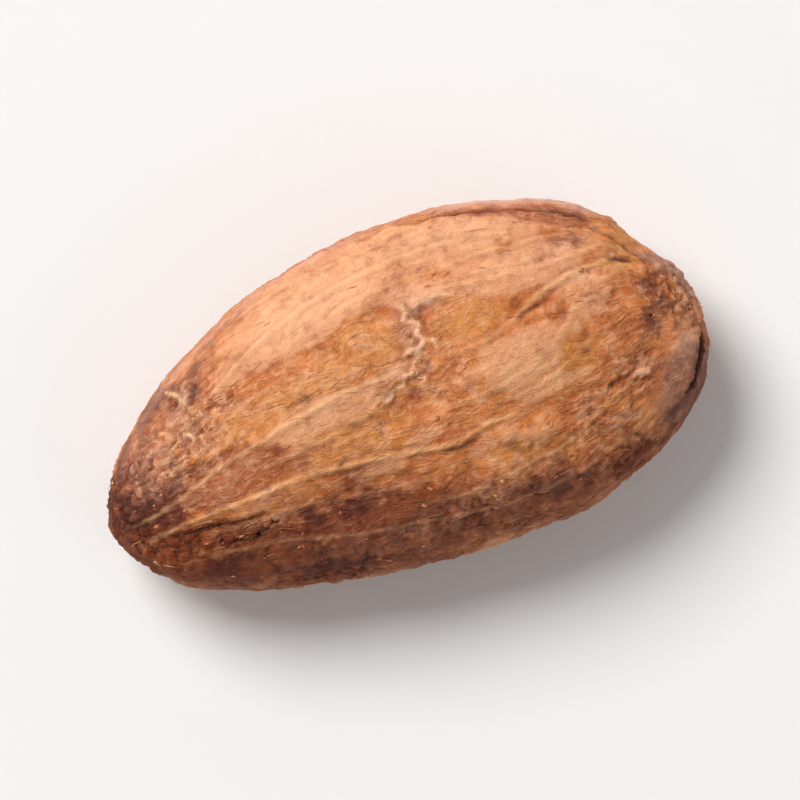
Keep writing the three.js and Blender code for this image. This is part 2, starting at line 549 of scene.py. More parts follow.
def crease_paths(surface):
    """The dark narrow folds and cracks."""
    creases = Paths(surface)
    crown = creases.on_crown
    # Along the inner side of the seam, and the folds beside the scar
    crown(0.9, (2.6, 6.35), (4.0, 6.15), (5.2, 5.85), (6.4, 5.48), (7.6, 5.02), (8.7, 4.5), (9.7, 3.85))
    crown(0.8, (9.5, 2.3), (10.0, 2.05), (10.7, 1.8), fade=0.4)
    crown(0.6, (9.3, 3.9), (9.75, 3.2), (10.3, 2.6), (11.0, 1.7), (11.4, 0.9), fade=0.8)
    crown(0.7, (5.3, 1.2), (5.9, 1.45), (6.8, 1.6), fade=0.5)
    # The crinkle across the middle
    crown(0.45, (1.5, 3.6), (1.7, 3.0), (1.95, 2.5), (1.85, 2.15), (2.0, 1.9), fade=0.4)
    crown(0.4, (1.3, 2.5), (1.3, 2.1), (1.45, 1.8), (1.1, 1.4), fade=0.3)
    crown(0.4, (1.7, 1.4), (1.6, 1.0), (1.2, 0.8), fade=0.3)
    crown(0.55, (-0.9, 0.0), (-0.2, 0.45), (0.4, 0.6), (1.0, 0.55), (1.7, 0.9), fade=0.6)
    crown(0.4, (0.2, 0.35), (0.9, 0.1), (1.6, -0.3), fade=0.5)
    crown(0.5, (2.2, 2.6), (1.9, 2.9), (2.3, 3.2), (3.0, 3.0), fade=0.5)
    # The broken edge at the broad end
    crown(2.2, (12.1, -1.6), (11.85, -2.3), (11.45, -2.95), (11.0, -3.45), (10.5, -3.8), fade=0.5)
    crown(1.2, (11.95, -1.9), (11.6, -2.6), (11.2, -3.1), fade=0.4)
    # The flank away from the seam
    crown(0.9, (-10.2, -1.85), (-9.0, -2.0), (-7.6, -2.2), (-6.2, -2.35), fade=1.0)
    crown(0.8, (-8.8, -2.85), (-7.9, -2.9), (-7.2, -3.1), (-6.5, -2.8), fade=0.5)
    crown(0.6, (-3.3, -1.7), (-2.9, -1.85), (-2.2, -1.95), fade=0.4)
    crown(0.6, (-2.5, -0.4), (-2.1, -0.3), (-1.7, -0.3), fade=0.3)
    crown(0.8, (0.8, -2.5), (1.6, -2.6), (2.5, -2.35), fade=0.5)
    crown(0.6, (7.7, -2.6), (8.2, -2.4), (8.5, -2.2), fade=0.3)
    crown(0.7, (8.7, -2.4), (9.2, -2.75), (9.6, -2.7), fade=0.3)
    crown(0.6, (11.7, -0.4), (12.1, -0.7), fade=0.2)
    crown(0.6, (10.5, 1.2), (10.9, 0.7), (11.0, 0.3), fade=0.3)
    crown(0.7, (-8.2, 2.5), (-7.6, 3.1), (-7.2, 3.6), fade=0.4)
    crown(0.5, (-4.4, 1.25), (-3.4, 1.35), (-2.9, 1.2), fade=0.4)
    crown(0.6, (-10.0, -0.2), (-9.3, 0.1), (-9.2, 0.9), fade=0.4)
    # Crosswise crinkles along the flank
    chance = random.Random(11)
    for _ in range(46):
        x = chance.uniform(-8.5, 8.5)
        y = chance.uniform(-5.6, -3.3)
        lean = chance.uniform(-0.5, 0.5)
        reach = chance.uniform(0.25, 0.7)
        strength = chance.uniform(0.3, 0.6)
        middle = (x, y + chance.uniform(-0.1, 0.1))
        crown(strength, (x - lean, y - reach), middle, (x + lean, y + reach), fade=0.3)
    for around in range(196, 350, 17):
        start = chance.uniform(0.08, 0.5)
        strength = chance.uniform(0.4, 0.9)
        end = start + chance.uniform(0.08, 0.3)
        creases.tip_to_tip(strength, start, end, around, chance.uniform(1, 3), chance)
    return creases.helper("crease_paths")


SEAM_LINE = [
    (10.3, 4.1), (9.0, 5.05), (7.4, 5.85), (5.4, 6.5), (3.0, 6.85), (0.4, 6.9), (-2.4, 6.5), (-5.2, 5.8),
    (-7.8, 4.6), (-9.6, 3.5), (-11.2, 2.0),
]
SEAM_LIFT = 1.1  # the seam's height above the line from tip to tip


def seam_path(surface):
    """The cord along the edge, from the scar to the narrow end. Past its first third it is fainter."""
    seam = Paths(surface)
    places = []
    for x, y in smooth_path(SEAM_LINE, PATH_STEP):
        beside = Vector((x * MM, y * MM, axis_z + SEAM_LIFT * MM))
        places.append(surface.tree.find_nearest(beside)[0])
    split_at = len(places) // 3
    seam.add(places[:split_at], 1.0, fade=1.5)
    seam.add(places[split_at:], 0.45, fade=4.0)
    return seam.helper("seam_path")


# Each pit is x, y and strength.
PITS = [
    (-7.2, -3.05, 1.0), (-6.45, -2.75, 0.8), (-6.9, -2.6, 0.5), (-11.5, -1.6, 1.2), (-11.2, -2.1, 0.8),
    (-12.1, -1.8, 0.9), (-9.3, 0.85, 0.7), (-9.0, 0.15, 0.6), (-8.6, -2.8, 0.7), (-2.85, -1.5, 0.7),
    (1.55, 2.85, 0.4), (1.15, 0.75, 0.6), (10.4, -0.35, 0.9), (10.25, 2.0, 0.35), (8.0, -2.45, 0.6),
    (1.2, -3.8, 0.5), (12.0, -0.7, 0.6),
]


def pit_points(surface):
    places = [surface.crown_place(x, y) for x, y, _ in PITS]
    return marked_mesh("pit_points", places, [], [strength for _, _, strength in PITS])


# -------------------- where the skin differs in colour and grain

# Each patch is x, y, half-length, half-width, turn and strength.
CROWN_PATCHES = {
    # Pale patches are a film of dried pulp; the big ones on the upper side, above y 3, are also a painted
    # highlight.
    "pale": [
        (-3.0, 4.4, 2.6, 1.0, 8, 1.4), (0.0, 5.7, 3.4, 1.0, 0, 0.8), (4.5, 4.9, 2.8, 0.8, -10, 1.1),
        (3.8, 3.5, 2.8, 0.7, 0, 0.5), (-3.0, 3.6, 2.0, 0.6, 8, 0.5), (10.4, -2.1, 1.0, 0.8, 0, 0.5),
        (-4.2, 0.6, 1.4, 0.45, 5, 0.75), (-5.8, 3.2, 1.6, 0.4, 24, 0.5), (-0.6, 1.0, 1.5, 0.35, 14, 0.9),
        (-2.8, 1.0, 1.3, 0.4, 4, 0.9), (5.3, -0.3, 2.2, 1.3, 0, 0.5), (6.2, 3.2, 1.0, 0.4, 0, 0.6),
        (2.2, 3.3, 0.8, 0.35, 0, 0.9), (8.2, 3.1, 1.2, 0.5, 0, 0.9), (8.3, 1.0, 1.0, 0.6, 0, 0.7),
        (5.0, 5.3, 2.2, 0.4, -12, 0.6), (8.0, 2.1, 1.8, 0.6, 0, 0.7), (1.8, 3.5, 0.8, 0.5, 0, 0.5),
        (-3.2, 0.2, 2.0, 0.5, 3, 0.8), (9.3, -2.4, 0.3, 0.18, 0, 1.1), (-6.2, -1.45, 0.5, 0.2, 0, 1.0),
        (11.4, -1.6, 0.9, 0.6, 70, 0.5), (4.2, -2.9, 1.6, 0.6, -12, 0.5), (5.0, 0.4, 2.6, 0.6, 0, 0.6),
        (6.0, -1.6, 1.8, 0.4, 0, 0.7), (-1.6, -2.2, 1.6, 0.4, -6, 0.8), (4.2, -0.8, 1.4, 0.5, 0, 0.6),
        (2.2, -3.0, 0.8, 0.4, 0, 0.6), (8.0, -3.7, 1.4, 0.5, 10, 0.6), (5.8, 2.8, 1.6, 0.7, 0, 0.6),
        (0.0, 4.4, 1.6, 0.6, 0, 0.9), (0.2, -1.7, 1.4, 0.4, 0, 0.7), (1.35, 2.0, 0.2, 0.8, -10, 0.7),
        (-3.0, -6.0, 1.4, 0.5, -8, 0.6), (1.6, -6.6, 1.2, 0.4, 0, 0.6), (6.2, -6.1, 1.2, 0.5, 10, 0.5),
        (-7.6, -4.8, 1.2, 0.4, -20, 0.5),
    ],
    "gold": [
        (-4.6, 1.3, 3.4, 1.1, 4, 1.0), (-0.6, 2.6, 1.6, 1.2, 0, 0.8), (-2.2, -0.2, 2.0, 0.6, 0, 0.8),
        (-6.4, 0.1, 1.6, 0.5, 0, 0.9), (-1.0, -1.7, 2.0, 0.5, 0, 0.8), (3.6, 1.9, 2.2, 0.8, 0, 0.9),
        (5.4, -0.8, 2.6, 1.2, -10, 0.8), (6.6, -1.0, 1.4, 1.0, 0, 0.6), (-4.0, -1.0, 4.2, 0.6, 2, 0.9),
        (-8.6, 3.3, 0.5, 0.7, -20, 0.9), (10.3, 2.7, 0.45, 1.3, -50, 1.1),
        (10.0, 1.9, 0.9, 0.4, -20, 0.8), (3.4, -3.6, 2.4, 0.9, -6, 0.7), (-1.4, -3.4, 1.8, 0.7, 0, 0.4),
        (-6.6, -3.0, 0.8, 0.3, 0, 0.6), (-8.8, -1.6, 1.2, 0.3, 0, 0.8),
    ],
    "red": [
        (8.2, 4.55, 1.7, 0.4, -26, 1.3), (5.6, 5.75, 1.8, 0.25, -14, 0.9), (1.6, 4.3, 0.9, 0.5, -20, 0.6),
        (1.7, 5.9, 0.8, 0.3, 0, 0.5), (0.7, 0.0, 1.0, 0.4, 0, 0.6), (0.4, -0.9, 1.2, 0.5, 0, 0.2),
        (-8.4, -0.8, 1.3, 0.5, 0, 0.9), (-8.6, 2.9, 1.2, 0.7, 30, 0.7), (-10.4, 1.8, 1.0, 0.8, 40, 0.8),
        (1.9, 2.6, 0.6, 0.9, -20, 0.2), (-7.2, 0.2, 1.8, 0.5, 4, 0.8), (9.0, -2.2, 1.4, 0.4, 22, 0.6),
        (6.0, -2.8, 1.3, 0.5, 10, 0.5), (10.8, 0.5, 0.7, 1.1, 20, 0.5), (-6.8, -0.2, 1.6, 0.6, 2, 0.5),
        (10.2, -1.2, 0.6, 0.8, -30, 0.3), (2.2, -0.7, 0.9, 0.4, 0, 0.6), (2.0, 1.2, 0.6, 0.4, 0, 0.6),
        (-3.4, 1.4, 0.8, 0.5, 0, 0.5), (-6.4, -0.75, 3.4, 0.55, 2, 1.1), (-10.2, 0.8, 1.2, 0.9, 0, 0.6),
        (-8.2, -2.3, 1.5, 0.4, -4, 0.6), (-2.4, 2.9, 1.0, 0.4, -10, 0.25),
        (-5.4, -3.4, 2.6, 0.7, -8, 0.7), (1.0, -4.8, 3.6, 0.8, 0, 0.8), (6.6, -4.6, 2.2, 0.7, 14, 0.4),
        (11.6, 1.4, 0.6, 0.9, 30, 0.5),
    ],
    "purple": [
        (-11.2, -0.5, 1.2, 0.9, 0, 1.0), (-9.9, -0.2, 0.8, 0.4, 0, 0.9), (-7.5, 3.3, 1.0, 0.4, 28, 0.6),
        (-6.6, 4.3, 2.0, 0.35, 28, 0.5), (-9.2, 3.3, 1.2, 0.5, 34, 0.8), (-8.2, 1.9, 0.6, 0.4, 40, 0.5),
        (2.1, 3.05, 0.7, 0.25, 0, 0.45), (8.4, 3.5, 1.0, 0.4, -10, 0.6), (10.3, -0.6, 0.5, 0.9, -30, 0.8),
        (10.8, 0.6, 0.7, 1.0, 25, 0.6), (9.8, -1.7, 0.8, 0.4, -40, 0.3), (-3.0, -3.2, 2.4, 0.5, -4, 0.9),
        (4.7, -5.3, 1.4, 0.5, -2, 0.9), (-4.6, -5.2, 2.8, 0.5, -10, 0.5),
        (-8.6, -3.6, 1.6, 0.5, -12, 0.7), (-11.4, 1.4, 1.6, 0.6, 48, 0.8), (9.9, -4.4, 1.4, 0.4, 34, 0.4),
        (-10.3, -1.0, 0.9, 0.6, -10, 0.9), (-10.0, 0.8, 1.0, 0.8, 0, 0.6),
    ],
    # Dark patches are stains at the tips and in folds; those on the lower flank, below y -3, are partly
    # painted shade.
    "dark": [
        (-11.4, -1.9, 1.3, 0.9, -30, 1.3), (-9.6, -3.4, 2.4, 0.9, -20, 1.0),
        (-5.6, -4.0, 3.2, 0.9, -10, 0.95), (-2.2, -2.85, 1.4, 0.35, 0, 0.5),
        (4.2, -4.9, 1.5, 0.5, 0, 0.5), (-10.6, -1.0, 1.2, 0.7, 0, 0.7), (-3.4, -3.6, 3.0, 0.6, -6, 0.75),
        (-8.0, -2.9, 1.2, 0.4, -8, 0.6), (-1.0, -5.0, 3.8, 1.0, -6, 0.6), (3.6, -5.6, 3.2, 0.7, 2, 0.7),
        (-4.2, -5.6, 3.8, 0.6, -12, 0.7), (-8.4, 3.4, 1.0, 0.5, 30, 0.6), (-12.2, 0.4, 0.6, 1.2, 0, 0.9),
        (-1.2, -6.5, 1.4, 0.4, 0, 0.5), (4.4, -6.6, 1.8, 0.5, 0, 0.6), (8.2, -5.4, 2.4, 0.6, 20, 0.8),
        (1.0, -5.5, 7.0, 0.6, 0, 0.3), (-6.4, -3.7, 1.8, 0.5, -10, 0.7), (-4.0, -3.9, 1.6, 0.4, -8, 0.6),
        (-7.9, -2.9, 0.8, 0.4, -10, 0.6), (-0.2, -3.9, 1.9, 0.5, 0, 0.7), (11.0, -4.0, 1.6, 0.8, 44, 0.9),
        (-9.0, -1.95, 1.8, 0.3, -3, 0.8), (-10.6, -0.3, 0.8, 0.6, 0, 0.7),
        (-12.0, -0.2, 0.7, 1.6, -10, 1.1), (-7.6, 3.25, 0.6, 0.16, 30, 0.5),
        (-4.8, -2.6, 2.2, 0.35, -4, 0.5), (10.3, -0.4, 0.5, 0.7, 20, 0.4), (8.2, -2.5, 0.5, 0.2, 0, 0.6),
        (7.6, -0.2, 0.25, 1.1, -20, 0.35), (6.2, 1.5, 0.8, 0.15, 8, 0.7),
        (10.1, 2.05, 0.5, 0.1, -20, 0.6), (9.0, 4.35, 0.9, 0.12, -30, 0.4),
        (11.6, -2.9, 0.35, 0.9, -28, 1.4),
    ],
    "grey": [
        (10.4, -3.7, 1.7, 0.9, 45, 1.0), (11.5, 1.4, 0.9, 0.25, -58, 1.0),
        (-11.7, -1.7, 0.8, 0.9, 0, 0.4), (-11.9, 0.8, 0.5, 1.2, -30, 0.5),
        (-9.6, 3.6, 1.6, 0.35, 34, 0.5), (-9.4, -4.2, 2.4, 0.4, -18, 0.4),
        (11.2, -0.8, 1.3, 2.6, 0, 0.45), (1.5, 0.6, 0.5, 0.5, 0, 0.5), (8.4, 0.6, 0.8, 0.8, 0, 0.35),
        (12.2, 0.3, 0.4, 1.2, 0, 0.6),
    ],
    "scaly": [
        (-9.4, 0.9, 2.4, 1.5, 10, 1.0), (-11.2, -0.8, 1.4, 1.6, 0, 1.0), (-7.2, 2.2, 1.6, 0.8, 25, 0.8),
        (-9.6, -2.6, 2.0, 0.9, -20, 0.9), (-6.6, -2.9, 1.3, 0.5, -5, 0.9), (1.2, 2.0, 0.6, 1.4, -10, 0.9),
        (9.2, -2.2, 1.4, 0.7, 20, 0.7), (11.2, 0.0, 0.9, 1.4, 20, 0.9), (12.2, -0.8, 0.8, 2.4, 0, 0.4),
        (5.8, -3.4, 1.6, 0.7, 0, 0.5), (-0.5, -5.2, 3.0, 0.7, 0, 0.5), (-5.0, -5.6, 1.8, 0.6, -12, 0.8),
        (2.6, -6.4, 1.6, 0.6, 0, 0.8), (7.6, -5.4, 1.4, 0.7, 20, 0.7),
    ],
    "crinkled": [
        (1.4, 2.2, 0.6, 1.6, -12, 1.2), (0.2, 0.7, 1.2, 0.5, 15, 0.9), (-4.6, -4.1, 4.0, 1.2, -10, 1.0),
        (1.5, -4.9, 3.6, 1.0, 0, 0.9), (7.4, -4.6, 2.6, 0.9, 16, 0.7), (0.5, -6.3, 8.0, 0.9, 0, 1.0),
        (-1.0, 6.6, 8.0, 0.7, 0, 0.6), (8.8, 1.2, 1.2, 1.0, 0, 0.5), (-9.0, 3.1, 1.8, 0.5, 32, 0.8),
        (-11.4, -0.6, 1.0, 1.8, 0, 0.8), (11.4, 0.6, 1.0, 2.0, 10, 0.6),
    ],
    "smooth": [
        (5.5, 1.3, 3.0, 1.8, 0, 1.0), (6.6, -0.6, 1.8, 1.0, 0, 0.8), (-3.0, 4.4, 3.2, 1.2, 8, 1.0),
        (3.6, -3.0, 2.2, 0.8, -8, 0.8), (-4.8, 1.0, 2.4, 0.8, 4, 0.6), (-4.6, -0.9, 3.2, 0.45, 2, 0.7),
        (0.2, 5.0, 2.4, 1.0, 0, 0.7), (5.0, 4.6, 2.2, 0.7, -10, 0.7),
    ],
    "frosted": [
        # The first of these, a thin strip along the upper edge, is a painted highlight.
        (-5.4, 5.25, 3.4, 0.3, 22, 0.4), (1.35, 2.2, 0.45, 1.3, -10, 1.0),
        (0.4, 0.95, 1.0, 0.35, 15, 0.9), (-0.6, 0.3, 0.5, 0.3, 20, 0.6), (2.4, 3.3, 0.9, 0.3, 0, 0.6),
        (-9.6, 1.4, 1.6, 1.2, 30, 0.6), (-8.0, 3.1, 0.7, 0.5, 40, 0.8), (-6.2, -2.6, 1.0, 0.3, 0, 0.4),
        (9.4, -2.3, 0.5, 0.25, 0, 1.0), (-4.0, -4.2, 3.4, 0.7, -10, 0.15),
        (-7.4, 1.7, 1.8, 0.9, 20, 0.35), (1.5, -5.0, 3.4, 0.7, 0, 0.3), (11.2, -2.0, 0.9, 0.8, 0, 0.4),
        (8.4, 1.8, 1.2, 0.5, 0, 0.3),
    ],
    # Hollows, and swellings where the strength is below nothing
    "sunken": [
        (-8.2, -2.3, 2.0, 0.5, -4, 1.0), (-3.6, -2.8, 2.6, 0.7, -4, 1.0), (1.2, -3.4, 1.2, 0.5, 0, 0.6),
        (0.5, -0.6, 1.5, 0.6, 0, 0.8), (1.6, 2.4, 0.4, 1.2, -12, 0.9), (6.4, 1.7, 1.6, 0.3, 6, 0.7),
        (9.0, -2.2, 1.4, 0.35, 24, 0.8), (-7.3, 3.2, 1.0, 0.3, 25, 0.9), (8.6, 4.3, 1.2, 0.3, -28, 0.8),
        (-2.4, 2.7, 1.6, 0.35, -8, 0.6), (10.2, 2.1, 0.8, 0.3, -25, 0.8), (-2.6, 4.6, 2.6, 0.9, 8, -0.8),
        (4.8, -3.1, 1.6, 0.5, -12, -0.8), (3.4, 3.6, 2.2, 0.6, -2, -0.6), (-5.0, 0.5, 2.0, 0.5, 5, -0.6),
        (5.6, 0.0, 2.2, 1.0, 0, -0.5), (10.0, 3.2, 0.35, 0.9, -30, -0.5), (11.3, 2.3, 1.3, 0.8, -52, 1.2),
    ],
}

# The hidden face has the same kinds of patch, more thinly spread.
BELLY_PATCHES = {
    "pale": [
        (4.0, 2.0, 3.0, 1.2, 5, 0.6), (-4.5, -1.0, 2.5, 0.9, -8, 0.6), (0.5, -3.6, 2.0, 0.6, 0, 0.4),
        (-3.4, -5.6, 1.6, 0.8, 0, 0.5), (5.2, -5.8, 1.2, 0.9, 0, 0.5), (-6.0, 5.0, 1.6, 0.8, 20, 0.5),
        (1.0, 6.4, 2.4, 0.9, 0, 0.5),
    ],
    "gold": [
        (-1.5, 1.5, 3.5, 1.2, 8, 0.7), (6.0, -2.0, 2.4, 1.2, 0, 0.6), (-7.4, 1.2, 1.8, 0.8, 0, 0.5),
        (1.4, -6.0, 1.8, 1.0, 0, 0.7), (5.0, 5.6, 1.6, 0.8, 0, 0.6),
    ],
    "red": [
        (1.8, 0.0, 0.9, 1.8, 12, 0.7), (-6.0, -3.0, 2.0, 0.5, -10, 0.6), (8.6, 1.6, 1.0, 1.0, 0, 0.7),
        (-0.8, -6.2, 0.9, 1.2, 0, 0.6), (7.8, -5.0, 1.2, 1.0, 0, 0.5),
    ],
    "purple": [
        (-10.2, -0.6, 1.4, 1.0, 0, 0.8), (3.0, 4.8, 3.0, 0.6, -4, 0.6), (9.8, -2.0, 1.2, 1.0, 0, 0.6),
    ],
    "dark": [
        (-11.6, -1.0, 1.2, 2.0, 0, 1.0), (-2.0, -6.6, 1.6, 0.8, 0, 0.5), (3.4, -6.6, 1.4, 0.8, 0, 0.6),
        (-8.0, -4.4, 3.0, 0.8, -22, 0.5), (9.6, -4.6, 2.0, 1.0, 30, 0.6), (-3.0, 4.8, 4.0, 0.6, 14, 0.6),
    ],
    "grey": [
        (10.8, -2.6, 1.6, 1.2, 40, 0.8), (-9.4, 2.0, 1.6, 0.7, 28, 0.6), (5.0, -5.0, 3.0, 0.5, 4, 0.4),
    ],
    "scaly": [
        (-8.6, 0.0, 2.2, 1.6, 0, 0.9), (7.8, 2.4, 1.6, 1.0, -20, 0.7), (-1.0, 3.4, 2.6, 0.8, 6, 0.6),
        (12.0, -0.8, 1.2, 2.6, 0, 0.5), (-4.6, -6.0, 1.6, 1.2, 0, 0.8), (3.2, -6.4, 1.4, 1.0, 0, 0.8),
        (-2.0, 6.4, 2.0, 1.0, 0, 0.8),
    ],
    "crinkled": [
        (1.0, 0.4, 1.2, 2.4, 8, 0.7), (-4.0, -4.4, 4.0, 0.8, -8, 0.8), (5.5, 4.2, 3.0, 0.8, -12, 0.8),
        (0.0, -6.6, 7.0, 1.2, 0, 0.8), (0.0, 6.6, 6.0, 1.2, 0, 0.6), (-11.6, -0.6, 1.2, 2.4, 0, 0.8),
        (11.6, -0.6, 1.2, 2.4, 0, 0.8),
    ],
    "smooth": [
        (4.4, 2.2, 3.2, 1.4, 5, 0.8), (-4.4, -1.4, 2.6, 1.2, -8, 0.8), (1.0, -6.0, 2.6, 1.0, 0, 0.5),
    ],
    "frosted": [
        (-8.0, 0.6, 2.0, 1.2, 0, 0.5), (1.0, 0.4, 0.8, 1.8, 8, 0.5), (6.4, 3.0, 1.4, 0.8, -14, 0.4),
    ],
    "sunken": [
        (-3.0, 3.6, 2.4, 0.6, 8, 0.8), (4.6, -3.4, 2.0, 0.6, 0, 0.7), (3.0, 4.2, 1.6, 0.5, -8, -0.7),
    ],
}


PATCH_MOST = 1.5  # where patches overlap, their cover is held to this
CROWN_BORDER = -0.6  # where the crown's patches give way to the belly's, above the line from tip to tip
CROWN_BORDER_WIDTH = 0.35


def patch_cover(x, y, patches):
    """How far a set of patches covers each point."""
    cover = np.zeros_like(x)
    for middle_x, middle_y, half_long, half_wide, turn, strength in patches:
        c, s = math.cos(math.radians(turn)), math.sin(math.radians(turn))
        along = ((x - middle_x) * c + (y - middle_y) * s) / half_long
        across = ((y - middle_y) * c - (x - middle_x) * s) / half_wide
        cover += strength * np.exp(-(along**2 + across**2))
    return cover


def mark_patches(form):
    """Writes how far each kind of patch covers the form, as one point attribute for each kind."""
    places = np.empty(len(form.data.vertices) * 3)
    form.data.vertices.foreach_get("co", places)
    x, y, z = places.reshape(-1, 3).T / MM
    upper = 1 / (1 + np.exp(-(z - axis_z / MM - CROWN_BORDER) / CROWN_BORDER_WIDTH))
    for kind, patches in CROWN_PATCHES.items():
        below = (1 - upper) * patch_cover(x, y, BELLY_PATCHES[kind])
        cover = np.minimum(upper * patch_cover(x, y, patches) + below, PATCH_MOST)
        mark = form.data.attributes.new(kind, "FLOAT", "POINT")
        mark.data.foreach_set("value", cover.astype(np.float32))


# -------------------- the relief of the skin

SCAR_X, SCAR_Y = 11.35, 2.55  # middle of the scar where the bean hung, on the facet at the broad end
SCAR_LIFT = 0.25  # its height above the line from tip to tip
SCAR_TURN = -52.0  # the facet's direction, seen from above
SCAR_LONG, SCAR_ACROSS, SCAR_HIGH = 1.35, 1.4, 0.75  # its half-sizes
FLOW_STRETCH = 0.2  # the grain is this much finer across the bean than along it
FLOW_RING = 5.0  # about the bean's girth radius in millimetres


def named(tree, name):
    return tree.field("GeometryNodeInputNamedAttribute", 0, {"Name": name}, data_type="FLOAT")


def grain_place(place_mm):
    """A place in the grain: lines of equal value run from tip to tip and close up at the tips."""
    x, y, z = split(place_mm)
    across = (y - axis_y / MM) / (bean_half.y / MM)
    up = (z - axis_z / MM) / (bean_half.z / MM)
    ring = (across * across + up * up).math("SQRT").most(0.02)
    return join(x * FLOW_STRETCH, across / ring * FLOW_RING, up / ring * FLOW_RING)


def distance_to(tree, helper, element, place_mm):
    """Distance in millimetres to a helper's lines or points, and how strong the nearest one is."""
    geometry = object_geometry(tree, helper)
    place = {"Sample Position": vector_sum("SCALE", place_mm, MM)}
    far = tree.field("GeometryNodeProximity", "Distance", {0: geometry, **place}, target_element=element)
    nearest = tree.field("GeometryNodeSampleNearest", 0, {"Geometry": geometry, **place})
    sample = {"Geometry": geometry, "Value": named(tree, "strength"), "Index": nearest}
    return far / MM, tree.field("GeometryNodeSampleIndex", 0, sample)


def store(tree, geometry, name, value, kind="FLOAT"):
    inputs = {"Geometry": geometry, "Name": name, "Value": value}
    return tree.field("GeometryNodeStoreNamedAttribute", 0, inputs, data_type=kind, domain="POINT")


def scar_share(place_mm):
    """1 at the rim of the oval scar and 0 at its middle."""
    x, y, z = split(place_mm)
    c, s = math.cos(math.radians(SCAR_TURN)), math.sin(math.radians(SCAR_TURN))
    along = ((x - SCAR_X) * c + (y - SCAR_Y) * s) / SCAR_LONG
    across = ((y - SCAR_Y) * c - (x - SCAR_X) * s) / SCAR_ACROSS
    up = (z - (axis_z / MM + SCAR_LIFT)) / SCAR_HIGH
    return (along * along + across * across + up * up).math("SQRT")


def scar_rim(scar):
    """1 on the rim round the scar."""
    return (scar - 1.1).math("ABSOLUTE").hump(0.14)


# How high, deep and wide each part of the relief is
RELIEF = {
    "Vein Height": 0.1,
    "Vein Width": 0.1,
    "Crease Depth": 0.15,
    "Crease Width": 0.11,
    "Seam Height": 0.16,
    "Seam Width": 0.3,
    "Pit Depth": 0.24,
    "Pit Width": 0.17,
    "Film Height": 0.05,
    "Lump Height": 0.4,
    "Hollow Depth": 0.2,
    "Wrinkle Height": 0.27,
    "Fibre Height": 0.035,
    "Grit Height": 0.18,
    "Crinkle Height": 0.36,
    "Plate Height": 0.13,
    "Thread Height": 0.08,
}


